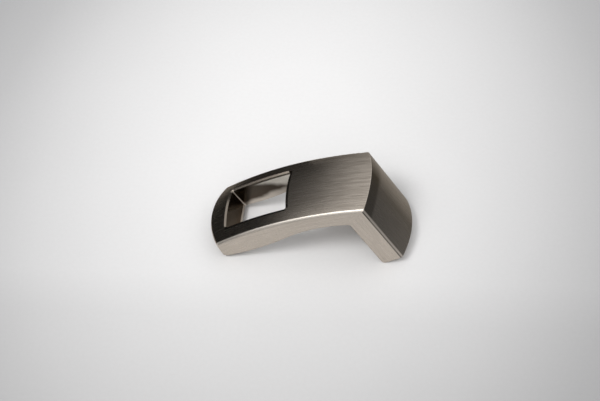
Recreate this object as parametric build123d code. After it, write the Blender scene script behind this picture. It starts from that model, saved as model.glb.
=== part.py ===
from build123d import *
import math
import os

# Sizes in millimetres. The knob is drawn as it is fixed: foot down on the plane z = 0,
# leg rising from it with its inner face on x = 0, arm reaching to the left.
# At the end it is turned to lie as it rests on a table.

# Body
width = 22.0
leg_thickness = 6.1
arm_arch_radius = 100.0
arm_crest_height = 27.4
arm_crest_reach = 28.3
end_reach = 37.8
end_drop = 3.4
end_lean = 8.7

# Crowned outer faces: rise of the middle above the side edges
arm_crown = 2.1
leg_crown = 2.6
end_crown = 2.7

# Underside: a finger pocket beside the leg, running into a thicker pad at the free end
pocket_radius = 36.5
pocket_reach = 15.0
pocket_drop = 6.3
pad_radius = 69.0
pad_reach = 24.5

# Window through the arm, opening out a little toward the underside
window_start = 14.9
window_length = 19.1
window_width = 13.4
window_corner = 0.5
window_draft = 1.5

# Blind hole in the foot, plain at tapping size
tap_drill_radius = 1.65
tap_depth = 12.0
drill_point_angle = 118.0

# Rounded and broken edges. The round beside each crowned face stops short of the side
# face, and the angle left between them shows as a fine line.
side_round = 1.1
side_crease_angle = 12.0
ridge_round = 0.3
rim_chamfer = 0.45
under_rim_chamfer = 0.3
end_chamfer = 0.35
edge_round = 0.4
inner_round = 0.8
rest_round = 1.2

# How far a cutting shape reaches past what it cuts
past = 10.0

# Nearness by which an edge counts as lying on a plane
on_plane = 0.01

# Places that follow from the sizes. The pocket and the end hang from the crest of the arm
side_plane = width / 2
crest = arm_crest_height + arm_crown
pocket_height = arm_crest_height - pocket_drop
end_height = arm_crest_height - end_drop
arm_centre = Vector(-arm_crest_reach, 0, arm_crest_height - arm_arch_radius)
pocket_centre = Vector(-pocket_reach, 0, pocket_height - pocket_radius)
arcs_apart = pocket_radius + pad_radius
pad_rise = math.sqrt(arcs_apart ** 2 - (pad_reach - pocket_reach) ** 2)
pad_centre = Vector(-pad_reach, 0, pocket_centre.Z + pad_rise)
lean = math.radians(end_lean)
end_up = Vector(math.sin(lean), 0, math.cos(lean))
end_out = Vector(-math.cos(lean), 0, math.sin(lean))
end_point = Vector(-end_reach, 0, end_height)


def side_profile():
    # Drawn large outside, where the crowned faces trim it, and true along the underside
    meeting = pocket_centre + (pad_centre - pocket_centre).normalized() * pocket_radius
    corner_rise = math.sqrt(pocket_radius ** 2 - pocket_reach ** 2)
    corner = Vector(0, 0, pocket_centre.Z + corner_rise)
    tail_reach = end_reach + end_crown + past
    tail_drop = math.sqrt(pad_radius ** 2 - (tail_reach - pad_reach) ** 2)
    tail = Vector(-tail_reach, 0, pad_centre.Z - tail_drop)
    pocket_top = Vector(-pocket_reach, 0, pocket_height)
    pad_bottom = pad_centre - Vector(0, 0, pad_radius)
    right = leg_thickness + leg_crown + past
    top = crest + past
    outline = [
        Polyline(corner, (0, 0, 0), (right, 0, 0), (right, 0, top), (-tail_reach, 0, top), tail),
        ThreePointArc(tail, pad_bottom, meeting),
        ThreePointArc(meeting, pocket_top, corner),
    ]
    return make_face(outline)


def crowned_bar(plane, crown, depth):
    # Section of a bar as wide as the knob, its top side bowed up by the crown
    with BuildSketch(plane) as section:
        with BuildLine():
            Polyline((side_plane, 0), (side_plane, -depth), (-side_plane, -depth), (-side_plane, 0))
            ThreePointArc((-side_plane, 0), (0, crown), (side_plane, 0))
        make_face()
    return section.sketch


def mirrored(point):
    return Vector(-point.X, point.Y)


def rounded_bar(plane, crown, depth):
    # The crowned section with its two upper corners rounded as far as the crease
    bow_radius = side_plane ** 2 / (2 * crown) + crown / 2
    bow_centre = Vector(0, crown - bow_radius)
    crease = math.radians(side_crease_angle)
    last_way = Vector(math.cos(crease), math.sin(crease))
    round_reach = side_plane - side_round * last_way.X
    round_rise = math.sqrt((bow_radius - side_round) ** 2 - round_reach ** 2)
    round_centre = bow_centre + Vector(round_reach, round_rise)
    first_way = (round_centre - bow_centre).normalized()
    first = bow_centre + first_way * bow_radius
    middle = round_centre + (first_way + last_way).normalized() * side_round
    last = round_centre + last_way * side_round
    with BuildSketch(plane) as section:
        with BuildLine():
            Polyline(last, (side_plane, -depth), (-side_plane, -depth), mirrored(last))
            ThreePointArc(mirrored(last), mirrored(middle), mirrored(first))
            ThreePointArc(mirrored(first), (0, crown), first)
            ThreePointArc(first, middle, last)
        make_face()
    return section.sketch


def arm_form():
    # The section swept half a turn along the arch, past both ends of the knob
    axis = Axis(arm_centre, (0, 1, 0))
    top = Plane(origin=(-arm_crest_reach, 0, arm_crest_height), x_dir=(0, 1, 0), z_dir=(1, 0, 0))
    section = rounded_bar(top, arm_crown, crest + past)
    return revolve(section, axis, 180).rotate(axis, -90)


def leg_form():
    reach = end_reach + end_crown + past
    foot = Plane(origin=(leg_thickness, 0, -past), x_dir=(0, -1, 0), z_dir=(0, 0, 1))
    return extrude(rounded_bar(foot, leg_crown, leg_thickness + reach), crest + 2 * past)


def end_form():
    reach = end_reach + leg_thickness + leg_crown
    middle = Plane(origin=end_point, x_dir=(0, 1, 0), z_dir=end_up)
    return extrude(crowned_bar(middle, end_crown, reach + 2 * past), crest + past, both=True)


def blank():
    slab = extrude(side_profile(), side_plane, both=True)
    return slab & arm_form() & leg_form() & end_form()


def across_edges(body):
    # Edges that run across the knob from side to side, halfway on its middle plane
    middle = body.edges().filter_by_position(Axis.Y, -on_plane, on_plane)
    return middle.filter_by(lambda edge: edge.length > side_plane)


def side_edges(body):
    ends = body.edges().group_by(Axis.Y)
    return [ends[0], ends[-1]]


def rounded(body):
    ridge = across_edges(body).sort_by(Axis.X)[-2:].sort_by(Axis.Z)[-1]
    body = fillet(ridge, ridge_round)

    end_high = across_edges(body).sort_by(Axis.X)[:2].sort_by(Axis.Z)[-1]
    body = chamfer(end_high, end_chamfer)

    across = across_edges(body)
    foot_inner = across.group_by(Axis.Z)[0].sort_by(Axis.X)[0]
    end_low = across.sort_by(Axis.X)[:3].sort_by(Axis.Z)[0]
    body = fillet([foot_inner, end_low], rest_round)

    inner_corner = across_edges(body).sort_by_distance((0, 0, pocket_height))[0]
    body = fillet(inner_corner, inner_round)

    leading = [across_edges(body).group_by(Axis.Z)[0].sort_by(Axis.X)[-1]]
    # One edge of each side leads the round on about the underside and end
    for edges in side_edges(body):
        leading.append(edges.filter_by(GeomType.LINE).filter_by(Axis.Z).sort_by(Axis.X)[0])
    return fillet(leading, edge_round)


def window_cutter():
    # Four walls that part by the draft angle as they go down
    slope = math.tan(math.radians(window_draft))
    middle = -window_start - window_length / 2
    levels = []
    for height in (-past, crest + past):
        spread = 2 * (crest - height) * slope
        level = Plane(origin=(middle, 0, height))
        levels.append(level * Rectangle(window_length + spread, window_width + spread))
    cutter = loft(levels)
    corners = cutter.edges().filter_by(lambda edge: edge.length > crest)
    return fillet(corners, window_corner)


def windowed(body):
    cutter = window_cutter()
    opened = body - cutter
    # One edge of each rim leads its chamfer on about the whole window
    outline = new_edges(body, cutter, combined=opened).sort_by(Axis.Z)
    on_upper_rim = outline[-1] @ 0.5
    opened = chamfer(outline[0], under_rim_chamfer)
    return chamfer(opened.edges().sort_by_distance(on_upper_rim)[0], rim_chamfer)


def tapped_hole():
    middle = (leg_thickness + leg_crown) / 2
    half_point = math.radians(drill_point_angle / 2)
    point = tap_drill_radius / math.tan(half_point)
    shaft = Pos(middle, 0, (tap_depth - past) / 2) * Cylinder(tap_drill_radius, tap_depth + past)
    tip = Pos(middle, 0, tap_depth + point / 2) * Cone(tap_drill_radius, 0, point)
    return shaft + tip


def resting(body):
    # Both rounded low corners touch the table when the line between their centres is level
    foot_centre = Vector(rest_round, 0, rest_round)
    end_middle = end_point + end_out * (end_crown - rest_round)
    inward = (end_middle - pad_centre).dot(end_out)
    along = math.sqrt((pad_radius - rest_round) ** 2 - inward ** 2)
    end_centre = pad_centre + end_out * inward - end_up * along
    rise = end_centre - foot_centre
    turned = body.rotate(Axis.Y, math.degrees(math.atan2(rise.Z, rise.X)) - 180)
    box = turned.bounding_box()
    return Pos(-box.center().X, 0, -box.min.Z) * turned


knob = resting(windowed(rounded(blank())) - tapped_hole())
os.makedirs("parts", exist_ok=True)
export_step(knob, "parts/knob.step")
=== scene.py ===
import math

import bpy
from mathutils import Matrix, Vector

# Lengths are in metres unless a name ends in _mm, and angles are in degrees. The frame is the
# CAD's: +X along the knob toward the leg, +Y across it and away from the camera, +Z up from the
# table.

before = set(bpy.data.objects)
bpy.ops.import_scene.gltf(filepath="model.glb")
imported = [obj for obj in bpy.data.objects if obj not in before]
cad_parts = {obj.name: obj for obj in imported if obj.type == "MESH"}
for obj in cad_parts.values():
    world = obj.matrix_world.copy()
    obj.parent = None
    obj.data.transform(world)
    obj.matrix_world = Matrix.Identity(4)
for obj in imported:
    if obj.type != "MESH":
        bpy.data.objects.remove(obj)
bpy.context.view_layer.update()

mm_in_a_metre = 1000.0

# Camera
camera_turn = 9.904
camera_height = 47.614
camera_roll = -5.686
camera_distance = 0.344286
camera_aim = (-0.00094, 0.0, 0.011)
camera_slide = (0.001762, -0.001015)
camera_lens_mm = 75.04
camera_sensor_mm = 36.0
camera_clip = (0.01, 10.0)

# Places taken from the CAD, as x and z in the plane y = 0: the arch's centre, the foot of the
# leg's inner face, and the corner where arm and leg meet. The ways in the same plane are up the
# leg, out of its outer face, and from the arm's side of that corner to the leg's. Lengths along
# the arm are measured at its radius.
arm_centre_mm = (30.778, -77.681)
arm_radius_mm = 102.0
leg_foot_mm = (20.584, -0.430)
leg_up = (-0.48196, 0.87620)
leg_out = (leg_up[1], -leg_up[0])
mitre_mm = (11.967, 15.237)
past_mitre = (0.840, -0.543)

# Sections of the crowned faces: how far the side edges stand from the arm's centre or the leg's
# inner face, how far below them the bow and the corner round are centred, and where the round
# begins. The round's centre is the same way across in both.
arm_section_mm = {"edge": 100.0, "bow": 27.76, "round": 0.768, "round_from": 10.30}
leg_section_mm = {"edge": 6.1, "bow": 21.97, "round": 0.70, "round_from": 10.39}
round_across_mm = 9.924
edge_line_from_mm = 10.3

# The exact normal is used where the mesh's own agrees with it, looks out of the bar and doesn't
# lean along it. The limits differ on the bow and on the round.
agrees_on_bow = 0.93
agrees_on_round = 0.6
leans_on_bow = 0.08
leans_on_round = 0.3
looks_out_of_bar = 0.1

# Window: its half width, its left end and length along the arm, and its walls' top edge as
# measured from the arch's centre
window_half_mm = 7.3
window_left_mm = -57.0
window_length_mm = 19.2
window_middle_mm = window_left_mm + window_length_mm / 2
wall_top_mm = 101.3
wall_depth_mm = 7.6
wall_end_slack_mm = 0.6

# Painted dark reflections as thin stripes by the window: on its chamfered rims, on the arm past
# its right end, along the upper edge of its near wall and under the rim of its far wall.
# past_ends_mm is as far as the rims and the right line reach along the arm past the window's ends.
rim_width_mm = 0.4
past_ends_mm = 1.0
right_line_from_mm = -0.2
right_line_inset_mm = 0.45
right_line_depth = 0.9
near_line_in_mm = 0.4
near_line_out_mm = 0.3
near_line_low_mm = 0.6
near_line_past_end_mm = 0.3
near_line_depth = 0.85
under_line_mm = 1.05
under_line_depth = 0.9

# Where the ridge crosses the leg: along = ridge_along_mm + ridge_slope * through
ridge_along_mm = 14.59
ridge_slope = 0.539
leg_shade_reach_mm = 3.6

# How squarely a face looks to the side or along the bar, and what share of that finish it gets
side_facing = [(0.75, 0.0), (0.95, 1.0)]
end_facing = [(0.75, 0.0), (0.9, 1.0)]
closing_facing = [(0.76, 0.0), (0.8, 1.0)]
rim_facing = [(0.4, 0.0), (0.5, 1.0), (0.85, 1.0), (0.92, 0.0)]
leg_facing = [(0.1, 0.0), (0.2, 1.0)]
leg_round_facing = 0.68
off_leg_round = [(0.12, 0.0), (0.2, 1.0)]
far_wall_facing = -0.5
near_rim_facing = 0.45
right_rim_facing = -0.45

# Colours of the nickel
nickel = (0.6, 0.535, 0.468, 1.0)
nickel_side = (0.58, 0.523, 0.46, 1.0)
nickel_grazing = (0.45, 0.42, 0.38, 1.0)
nickel_dark = (0.28, 0.243, 0.205, 1.0)
nickel_painted_highlight = (0.86, 0.8, 0.72, 1.0)
nickel_leg = (0.48, 0.44, 0.395, 1.0)
leg_shade = (0.04, 0.036, 0.03, 1.0)
# Painted reflections on the window's walls: a bright one and a dark one
wall_painted_bright = (0.96, 0.92, 0.84, 1.0)
wall_painted_dark = (0.045, 0.03, 0.019, 1.0)
side_share = 0.7
painted_highlight_share = 0.8
leg_share = 0.65

# Brushing: the strokes are noise that is drawn out along the run, and its scale counts strokes
# per millimetre across them. The metal is smoother where its grain is bright.
coarse_strokes = {"Scale": 1.3, "Detail": 3.0}
coarse_drawn_out = 0.06
coarse_share = 0.4
fine_strokes = {"Scale": 4.2, "Detail": 5.0}
fine_drawn_out = 0.05
fine_share = 0.6
grain_tones = [(0.32, 0.0), (0.66, 1.0)]
grain_from, grain_to = 0.3, 0.7
rough_dark, rough_bright = 0.31, 0.25
rough_wall_less = 0.12
rough_edge_more = 0.04
brushed = 0.8
stroke_relief = {"Strength": 0.35, "Distance": 0.00001}

# Shade on the leg: deepest by the ridge, thinning out toward the far side. A map is given as
# where it begins and ends across the bar, and the shade at both.
ridge_shade = [(0.0, 0.88), (0.3, 0.73), (1.0, 0.0)]
ridge_shade_across = (1.0, 9.5, 1.0, 0.1)
leg_shade_across = (-1.0, 9.0, 0.74, 0.0)

# Painted dark reflection on the window's far wall, a band which slants down to the right. Depth
# and place are shares of the wall's depth and length.
wall_cloud = {"Scale": 0.22, "Detail": 2.0}
cloud_depth = 0.3
band_slope = 1.15
band_start = 0.5
band_top = [(0.0, 0.0), (0.3, 1.0)]
band_bottom = [(0.66, 1.0), (0.88, 0.0)]
band_bottom_slope = 0.1
band_depth = 0.94
wall_fade = [(0.35, 0.0), (0.8, 1.0)]

# Table: a painted pool of light around the knob fading outward, and painted shade toward the front
paper = (0.88, 0.875, 0.875, 1.0)
paper_painted_dim = (0.25, 0.25, 0.257, 1.0)
pool = {"Location": (0.05, -0.107, 0.0), "Scale": (5.2, 3.3, 0.0)}
pool_fade = [
    (0.03, 0.0), (0.12, 0.03), (0.2, 0.11), (0.29, 0.22),
    (0.38, 0.36), (0.5, 0.6), (0.75, 0.9), (1.0, 1.0),
]
front_edge, back_edge = -0.06, 0.1
painted_front_shade = [(0.0, 0.77), (0.18, 0.83), (0.27, 0.91), (1.0, 1.0)]
paper_fibre = {"Scale": 900.0, "Detail": 4.0}
paper_cloud = {"Scale": 30.0, "Detail": 3.0}
fibre_share, cloud_share, plain_share = 0.05, 0.03, 0.955
paper_relief = {"Strength": 0.15, "Distance": 0.00005}
paper_rough = 0.9
paper_gloss = 0.15
table_half = 0.9

# Room: tones from its dark left to its bright right, where overhead counts as further right,
# then how far the low part of the right is dimmed and the front raised
overhead_lean = 0.35
room_tones = [(0.2, 0.004), (0.312, 0.03), (0.44, 0.11), (0.504, 0.38), (0.6, 0.75), (0.85, 0.92)]
room_spread = 0.6
low_dim = [(0.15, 1.0), (0.55, 0.0)]
right_dim = [(0.15, 0.0), (0.5, 0.9)]
front_raise = [(0.45, 0.0), (0.85, 0.4)]

# Lamps: the way to them from the knob, how far off they hang, their width and height, and power
lamp_distance = 0.9
broad_lamp = {"way": (-0.35, -0.5, 0.8), "across": 0.84, "tall": 0.42, "power": 2.3}
small_lamp = {"way": (-0.35, -0.43, 0.83), "across": 0.42, "tall": 0.18, "power": 2.8}

# Dark cards: one stands to the left of the arm and one behind it
card_left, card_right = -0.055, -0.008
card_front, card_back = -0.06, 0.034
card_height = 0.035
card_dark = (0.02, 0.02, 0.02, 1.0)
card_rough = 0.9


def place_camera():
    turn, height, roll = (math.radians(a) for a in (camera_turn, camera_height, camera_roll))
    back = Vector((
        math.sin(turn) * math.cos(height),
        -math.cos(turn) * math.cos(height),
        math.sin(height),
    ))
    level_right = Vector((math.cos(turn), math.sin(turn), 0.0))
    level_up = back.cross(level_right)
    right = level_right * math.cos(roll) + level_up * math.sin(roll)
    up = level_up * math.cos(roll) - level_right * math.sin(roll)
    spot = Vector(camera_aim) - right * camera_slide[0] - up * camera_slide[1]
    spot += back * camera_distance
    data = bpy.data.cameras.new("camera")
    data.lens = camera_lens_mm
    data.sensor_width = camera_sensor_mm
    data.clip_start, data.clip_end = camera_clip
    camera = bpy.data.objects.new("camera", data)
    bpy.context.scene.collection.objects.link(camera)
    facing = Matrix((right, up, back)).transposed().to_4x4()
    camera.matrix_world = Matrix.Translation(spot) @ facing
    bpy.context.scene.camera = camera


def add(tree, kind, inputs=None, **settings):
    # A node with its settings, its plain inputs and its links in one call
    made = tree.nodes.new(kind)
    for name, value in settings.items():
        setattr(made, name, value)
    for socket, value in (inputs or {}).items():
        if isinstance(value, bpy.types.NodeSocket):
            tree.links.new(value, made.inputs[socket])
        else:
            made.inputs[socket].default_value = value
    return made


def maths(tree, operation, *values):
    inputs = dict(enumerate(values))
    return add(tree, "ShaderNodeMath", inputs, operation=operation).outputs[0]


def product(tree, first, *others):
    for value in others:
        first = maths(tree, "MULTIPLY", first, value)
    return first


def greatest(tree, first, *others):
    for value in others:
        first = maths(tree, "MAXIMUM", first, value)
    return first


def above(tree, value, limit):
    return maths(tree, "GREATER_THAN", value, limit)


def under(tree, value, limit):
    return maths(tree, "LESS_THAN", value, limit)


def without(tree, mask):
    return maths(tree, "SUBTRACT", 1.0, mask)


def mapped(tree, value, low, high, first, last):
    inputs = {"Value": value, "From Min": low, "From Max": high, "To Min": first, "To Max": last}
    return add(tree, "ShaderNodeMapRange", inputs).outputs[0]


def ramp(tree, factor, stops, ease="LINEAR"):
    made = add(tree, "ShaderNodeValToRGB", {"Fac": factor})
    made.color_ramp.interpolation = ease
    steps = made.color_ramp.elements
    while len(steps) < len(stops):
        steps.new(1.0)
    for step, (place, tone) in zip(steps, stops):
        step.position = place
        step.color = (tone, tone, tone, 1.0)
    return made.outputs["Color"]


def vectors(tree, operation, *values):
    inputs = dict(enumerate(values))
    return add(tree, "ShaderNodeVectorMath", inputs, operation=operation).outputs[0]


def scaled(tree, vector, size):
    inputs = {"Vector": vector, "Scale": size}
    return add(tree, "ShaderNodeVectorMath", inputs, operation="SCALE").outputs[0]


def dot(tree, first, second):
    inputs = {0: first, 1: second}
    return add(tree, "ShaderNodeVectorMath", inputs, operation="DOT_PRODUCT").outputs["Value"]


def joined(tree, x=0.0, y=0.0, z=0.0):
    return add(tree, "ShaderNodeCombineXYZ", {"X": x, "Y": y, "Z": z}).outputs[0]


def parted(tree, vector):
    parts = add(tree, "ShaderNodeSeparateXYZ", {"Vector": vector}).outputs
    return parts["X"], parts["Y"], parts["Z"]


# The next three go from the first to the second as their mask goes from 0 to 1
def number_of(tree, mask, first, second):
    return add(tree, "ShaderNodeMix", {"Factor": mask, "A": first, "B": second}).outputs[0]


def vector_of(tree, mask, first, second):
    inputs = {"Factor": mask, 4: first, 5: second}
    return add(tree, "ShaderNodeMix", inputs, data_type="VECTOR").outputs[1]


def colour_of(tree, mask, first, second):
    inputs = {"Factor": mask, 6: first, 7: second}
    return add(tree, "ShaderNodeMix", inputs, data_type="RGBA").outputs[2]


def noise(tree, place, size):
    return add(tree, "ShaderNodeTexNoise", {"Vector": place, **size}).outputs[0]


def new_material(name):
    made = bpy.data.materials.new(name)
    made.use_nodes = True
    made.node_tree.nodes.clear()
    return made


def put_out(tree, kind, shader):
    tree.links.new(shader.outputs[0], add(tree, kind).inputs[0])


def room():
    # Dark on the left, with a broad soft light overhead that fades toward it, and a dim right wall
    world = bpy.data.worlds.new("room")
    world.use_nodes = True
    tree = world.node_tree
    tree.nodes.clear()
    x, y, z = parted(tree, add(tree, "ShaderNodeTexCoord").outputs["Generated"])
    toward = maths(tree, "MULTIPLY_ADD", z, overhead_lean, x)
    light = ramp(tree, maths(tree, "MULTIPLY_ADD", toward, room_spread, room_spread), room_tones)
    dim = product(tree, ramp(tree, z, low_dim), ramp(tree, x, right_dim))
    light = scaled(tree, light, without(tree, dim))
    front = ramp(tree, maths(tree, "MULTIPLY", y, -1.0), front_raise)
    glow = add(tree, "ShaderNodeBackground", {"Color": vectors(tree, "ADD", light, front)})
    put_out(tree, "ShaderNodeOutputWorld", glow)
    bpy.context.scene.world = world


def soft_lamp(name, way, across, tall, power):
    data = bpy.data.lights.new(name, "AREA")
    data.shape = "ELLIPSE"
    data.size = across
    data.size_y = tall
    data.energy = power
    lamp = bpy.data.objects.new(name, data)
    lamp.location = Vector(way).normalized() * lamp_distance
    lamp.rotation_mode = "QUATERNION"
    lamp.rotation_quaternion = Vector(way).to_track_quat("Z", "Y")
    bpy.context.scene.collection.objects.link(lamp)
    return lamp


def paper_material():
    made = new_material("white paper")
    tree = made.node_tree
    place = add(tree, "ShaderNodeTexCoord").outputs["Object"]
    centred = add(tree, "ShaderNodeMapping", {"Vector": place, **pool}).outputs[0]
    away = add(tree, "ShaderNodeVectorMath", {0: centred}, operation="LENGTH").outputs["Value"]
    # Painted pool of light: the paper dims away from the knob
    tone = colour_of(tree, ramp(tree, away, pool_fade), paper, paper_painted_dim)
    back = mapped(tree, parted(tree, place)[1], front_edge, back_edge, 0.0, 1.0)
    fibre = noise(tree, place, paper_fibre)
    fleck = maths(tree, "MULTIPLY_ADD", fibre, fibre_share, plain_share)
    fleck = maths(tree, "MULTIPLY_ADD", noise(tree, place, paper_cloud), cloud_share, fleck)
    # Painted shade that darkens the paper toward the front
    fleck = product(tree, fleck, ramp(tree, back, painted_front_shade))
    rough = add(tree, "ShaderNodeBump", {"Height": fibre, **paper_relief})
    finish = {
        "Base Color": scaled(tree, tone, fleck),
        "Roughness": paper_rough,
        "Specular IOR Level": paper_gloss,
        "Normal": rough.outputs[0],
    }
    put_out(tree, "ShaderNodeOutputMaterial", add(tree, "ShaderNodeBsdfPrincipled", finish))
    return made


def from_spot(tree, x, z, spot):
    return maths(tree, "SUBTRACT", x, spot[0]), maths(tree, "SUBTRACT", z, spot[1])


def along_way(tree, x, z, way):
    return maths(tree, "MULTIPLY_ADD", z, way[1], maths(tree, "MULTIPLY", x, way[0]))


def bar_places(tree):
    # Where a point lies along the bent bar, across it and through it in millimetres, which way
    # the bar runs there and which way is out of it, and whether that is on the leg
    place = add(tree, "ShaderNodeTexCoord").outputs["Object"]
    x, across, z = parted(tree, scaled(tree, place, mm_in_a_metre))
    leg = above(tree, along_way(tree, *from_spot(tree, x, z, mitre_mm), past_mitre), 0.0)

    arm_x, arm_z = from_spot(tree, x, z, arm_centre_mm)
    arm_along = maths(tree, "MULTIPLY", maths(tree, "ARCTAN2", arm_x, arm_z), arm_radius_mm)
    arm_through = maths(tree, "MULTIPLY", arm_x, arm_x)
    arm_through = maths(tree, "SQRT", maths(tree, "MULTIPLY_ADD", arm_z, arm_z, arm_through))
    arm_way = joined(tree, x=arm_z, z=maths(tree, "MULTIPLY", arm_x, -1.0))
    arm_out = joined(tree, x=arm_x, z=arm_z)

    leg_x, leg_z = from_spot(tree, x, z, leg_foot_mm)
    leg_along = along_way(tree, leg_x, leg_z, leg_up)
    leg_through = along_way(tree, leg_x, leg_z, leg_out)
    leg_way = (leg_up[0], 0.0, leg_up[1])
    leg_outward = (leg_out[0], 0.0, leg_out[1])

    return dict(
        along=number_of(tree, leg, arm_along, leg_along),
        across=across,
        aside=maths(tree, "ABSOLUTE", across),
        through=number_of(tree, leg, arm_through, leg_through),
        direction=vectors(tree, "NORMALIZE", vector_of(tree, leg, arm_way, leg_way)),
        outward=vectors(tree, "NORMALIZE", vector_of(tree, leg, arm_out, leg_outward)),
        leg=leg,
    )


def crowned_normal(tree, bar):
    # The exact normal of the crowned faces and their rounded edges, in place of the mesh's own
    section = {}
    for name, arm_value in arm_section_mm.items():
        section[name] = number_of(tree, bar["leg"], arm_value, leg_section_mm[name])
    on_round = above(tree, bar["aside"], section["round_from"])
    below = number_of(tree, on_round, section["bow"], section["round"])
    height = maths(tree, "SUBTRACT", bar["through"], section["edge"])
    up_part = scaled(tree, bar["outward"], maths(tree, "ADD", height, below))
    sideways = maths(tree, "MULTIPLY_ADD", on_round, -round_across_mm, bar["aside"])
    side_part = joined(tree, y=product(tree, sideways, maths(tree, "SIGN", bar["across"])))
    exact = vectors(tree, "NORMALIZE", vectors(tree, "ADD", up_part, side_part))

    mesh = add(tree, "ShaderNodeNewGeometry").outputs["Normal"]
    least = number_of(tree, on_round, agrees_on_bow, agrees_on_round)
    most = number_of(tree, on_round, leans_on_bow, leans_on_round)
    agree = above(tree, dot(tree, mesh, exact), least)
    outer = above(tree, dot(tree, mesh, bar["outward"]), looks_out_of_bar)
    level = under(tree, maths(tree, "ABSOLUTE", dot(tree, mesh, bar["direction"])), most)
    return vector_of(tree, product(tree, agree, outer, level), mesh, exact)


def faces(tree, bar):
    # What each face looks toward. The leg's flat is its outer face without the corner rounds.
    facing = add(tree, "ShaderNodeTexCoord").outputs["Normal"]
    x, y, z = parted(tree, facing)
    forward = dot(tree, facing, bar["direction"])
    end_on = maths(tree, "ABSOLUTE", forward)
    out_of_leg = along_way(tree, x, z, leg_out)
    off_round = maths(tree, "MULTIPLY_ADD", out_of_leg, -1.0, leg_round_facing)
    return dict(
        side=ramp(tree, maths(tree, "ABSOLUTE", y), side_facing),
        endways=ramp(tree, end_on, end_facing),
        closing=ramp(tree, end_on, closing_facing),
        rim=ramp(tree, dot(tree, facing, bar["outward"]), rim_facing),
        outer_leg=product(tree, ramp(tree, out_of_leg, leg_facing), bar["leg"]),
        leg_flat=ramp(tree, maths(tree, "ABSOLUTE", off_round), off_leg_round),
        far_wall=under(tree, y, far_wall_facing),
        near_rim=above(tree, y, near_rim_facing),
        right_rim=under(tree, forward, right_rim_facing),
    )


def brushing(tree, bar, face):
    # Strokes run along the bar, and from side to side on the faces that close it off
    run = maths(tree, "MULTIPLY_ADD", bar["across"], face["closing"], bar["along"])
    spread = product(tree, bar["across"], without(tree, face["closing"]))
    spread = maths(tree, "ADD", spread, bar["through"])
    coarse_at = joined(tree, x=maths(tree, "MULTIPLY", run, coarse_drawn_out), y=spread)
    fine_at = joined(tree, x=maths(tree, "MULTIPLY", run, fine_drawn_out), y=spread)
    fine = noise(tree, fine_at, fine_strokes)
    grain = product(tree, noise(tree, coarse_at, coarse_strokes), coarse_share)
    return fine, maths(tree, "MULTIPLY_ADD", fine, fine_share, grain)


def window_places(tree, bar, face):
    # The window's walls and rims, what is beside it along the arm, and how far from its middle
    past_left = above(tree, bar["along"], window_left_mm - wall_end_slack_mm)
    on_arm = without(tree, bar["leg"])
    inside = product(tree, under(tree, bar["aside"], window_half_mm), past_left, on_arm)
    from_middle = maths(tree, "SUBTRACT", bar["along"], window_middle_mm)
    off_middle = maths(tree, "ABSOLUTE", from_middle)
    beside = under(tree, off_middle, window_length_mm / 2 + past_ends_mm)
    by_rim = product(tree, under(tree, bar["aside"], window_half_mm + rim_width_mm), beside)
    return dict(
        wall=product(tree, inside, greatest(tree, face["side"], face["endways"])),
        rim=product(tree, face["rim"], by_rim),
        beside=beside,
        from_middle=from_middle,
        off_middle=off_middle,
    )


def bare_metal(tree, bar, face, window, grain, edge):
    # Brushed metal, paler on the side faces, with a painted highlight on the arm's rounded edges
    # and painted shade on the rims
    tone = colour_of(tree, ramp(tree, grain, grain_tones), nickel_dark, nickel)
    tone = colour_of(tree, maths(tree, "MULTIPLY", face["side"], side_share), tone, nickel_side)
    # Painted shade on the window's rims, which dims their highlight
    tone = colour_of(tree, window["rim"], tone, nickel_dark)
    arm_side = without(tree, greatest(tree, face["endways"], bar["leg"]))
    # Painted highlight along the arm's rounded edges
    tone = colour_of(tree, product(tree, edge, arm_side, painted_highlight_share), tone, nickel_painted_highlight)
    return colour_of(tree, maths(tree, "MULTIPLY", face["outer_leg"], leg_share), tone, nickel_leg)


def shade_on_leg(tree, bar, face):
    ridge = maths(tree, "MULTIPLY_ADD", bar["through"], ridge_slope, ridge_along_mm)
    below_ridge = maths(tree, "SUBTRACT", ridge, bar["along"])
    below_ridge = maths(tree, "DIVIDE", below_ridge, leg_shade_reach_mm)
    by_ridge = ramp(tree, below_ridge, ridge_shade, "EASE")
    by_ridge = product(tree, by_ridge, mapped(tree, bar["across"], *ridge_shade_across))
    depth = greatest(tree, by_ridge, mapped(tree, bar["across"], *leg_shade_across))
    return product(tree, face["outer_leg"], face["leg_flat"], depth)


def painted_dark_lines(tree, bar, face, window):
    # Thin stripes of painted dark reflection by the window
    half = window_length_mm / 2
    on_rims = product(tree, window["rim"], greatest(tree, face["near_rim"], face["right_rim"]))

    right = above(tree, window["from_middle"], half + right_line_from_mm)
    between_corners = under(tree, bar["aside"], window_half_mm - right_line_inset_mm)
    right = product(tree, right, window["beside"], between_corners, right_line_depth)

    near = under(tree, window["off_middle"], half + near_line_past_end_mm)
    near_inner = under(tree, bar["across"], near_line_in_mm - window_half_mm)
    near_outer = above(tree, bar["across"], -near_line_out_mm - window_half_mm)
    near_top = above(tree, bar["through"], wall_top_mm - near_line_low_mm)
    near = product(tree, near, near_inner, near_outer, near_top, near_line_depth)

    below_rim = above(tree, bar["through"], wall_top_mm - under_line_mm)
    below_rim = product(tree, below_rim, face["far_wall"], window["wall"], under_line_depth)
    return greatest(tree, on_rims, right, near, below_rim)


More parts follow.
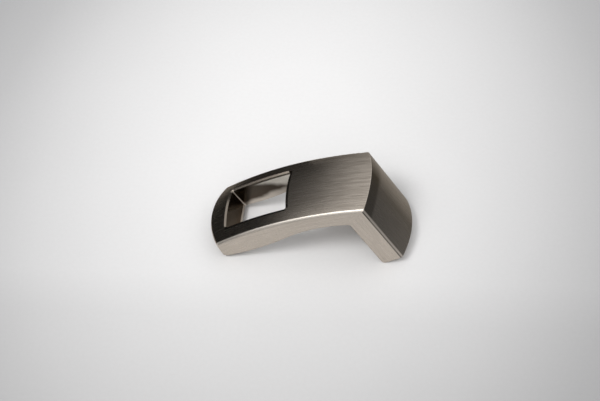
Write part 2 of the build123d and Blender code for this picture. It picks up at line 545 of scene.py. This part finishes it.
def walls_of_window(tree, bar, face, painted_lines):
    # Walls with a painted bright reflection that fades to plain nickel as they go down. The far
    # one has a band of painted dark reflection and the end ones are painted dark all over.
    place = joined(tree, bar["along"], bar["across"], bar["through"])
    top = wall_top_mm / wall_depth_mm
    depth = maths(tree, "MULTIPLY_ADD", bar["through"], -1.0 / wall_depth_mm, top)
    depth = maths(tree, "MULTIPLY_ADD", noise(tree, place, wall_cloud), cloud_depth, depth)
    depth = maths(tree, "SUBTRACT", depth, cloud_depth / 2)
    slope = band_slope / window_length_mm
    start = slope * window_left_mm + band_start
    leftward = maths(tree, "MULTIPLY_ADD", bar["along"], -slope, start)
    band = ramp(tree, maths(tree, "ADD", depth, leftward), band_top, "EASE")
    lower = maths(tree, "MULTIPLY_ADD", leftward, -band_bottom_slope, depth)
    band = product(tree, band, ramp(tree, lower, band_bottom, "EASE"), face["far_wall"])
    painted_dark_share = product(tree, greatest(tree, band, face["endways"]), band_depth)
    # Painted bright reflection at the top of the walls
    painted_bright_fade = colour_of(tree, ramp(tree, depth, wall_fade), wall_painted_bright, nickel_side)
    return colour_of(tree, greatest(tree, painted_dark_share, painted_lines), painted_bright_fade, wall_painted_dark)


def nickel_material():
    made = new_material("brushed nickel")
    tree = made.node_tree
    bar = bar_places(tree)
    face = faces(tree, bar)
    window = window_places(tree, bar, face)
    fine, grain = brushing(tree, bar, face)
    edge = product(tree, above(tree, bar["aside"], edge_line_from_mm), without(tree, face["side"]))

    tone = bare_metal(tree, bar, face, window, grain, edge)
    tone = colour_of(tree, shade_on_leg(tree, bar, face), tone, leg_shade)
    # Painted dark stripes by the window, and painted reflections on the window's walls
    painted_lines = painted_dark_lines(tree, bar, face, window)
    walls = greatest(tree, window["wall"], painted_lines)
    tone = colour_of(tree, walls, tone, walls_of_window(tree, bar, face, painted_lines))

    rough = mapped(tree, grain, grain_from, grain_to, rough_dark, rough_bright)
    rough = maths(tree, "MULTIPLY_ADD", walls, -rough_wall_less, rough)
    rough = maths(tree, "MULTIPLY_ADD", edge, rough_edge_more, rough)

    # The brushing spreads a reflection across its own run, but along the leg and the edges
    normal = crowned_normal(tree, bar)
    across_run = vectors(tree, "CROSS_PRODUCT", normal, bar["direction"])
    lengthways = greatest(tree, edge, window["rim"], face["outer_leg"])
    relief = add(tree, "ShaderNodeBump", {"Height": fine, "Normal": normal, **stroke_relief})
    finish = {
        "Base Color": tone,
        "Metallic": 1.0,
        "Specular Tint": nickel_grazing,
        "Roughness": rough,
        "Anisotropic": brushed,
        "Tangent": vector_of(tree, lengthways, across_run, bar["direction"]),
        "Normal": relief.outputs[0],
    }
    put_out(tree, "ShaderNodeOutputMaterial", add(tree, "ShaderNodeBsdfPrincipled", finish))
    return made


def lay_table():
    mesh = bpy.data.meshes.new("table")
    half = table_half
    corners = [(-half, -half, 0.0), (half, -half, 0.0), (half, half, 0.0), (-half, half, 0.0)]
    mesh.from_pydata(corners, [], [(0, 1, 2, 3)])
    table = bpy.data.objects.new("table", mesh)
    bpy.context.scene.collection.objects.link(table)
    mesh.materials.append(paper_material())


def card_material():
    made = new_material("dark card")
    tree = made.node_tree
    finish = {"Base Color": card_dark, "Roughness": card_rough}
    put_out(tree, "ShaderNodeOutputMaterial", add(tree, "ShaderNodeBsdfPrincipled", finish))
    return made


def stand_dark_cards():
    # They show only in the metal
    along = [(card_left, card_front), (card_left, card_back), (card_right, card_back)]
    corners = [(x, y, z) for z in (0.0, card_height) for x, y in along]
    mesh = bpy.data.meshes.new("dark cards")
    mesh.from_pydata(corners, [], [(0, 1, 4, 3), (1, 2, 5, 4)])
    mesh.materials.append(card_material())
    cards = bpy.data.objects.new("dark cards", mesh)
    cards.visible_camera = cards.visible_diffuse = cards.visible_shadow = False
    bpy.context.scene.collection.objects.link(cards)


def finish_knob():
    nickel_finish = nickel_material()
    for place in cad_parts["knob"].material_slots:
        place.material = nickel_finish


bpy.context.scene.view_settings.view_transform = "Standard"
place_camera()
room()
soft_lamp("broad lamp", **broad_lamp)
# The small lamp only lights the floor and keeps the shadow under the arch tight
soft_lamp("small lamp", **small_lamp).visible_glossy = False
lay_table()
stand_dark_cards()
finish_knob()
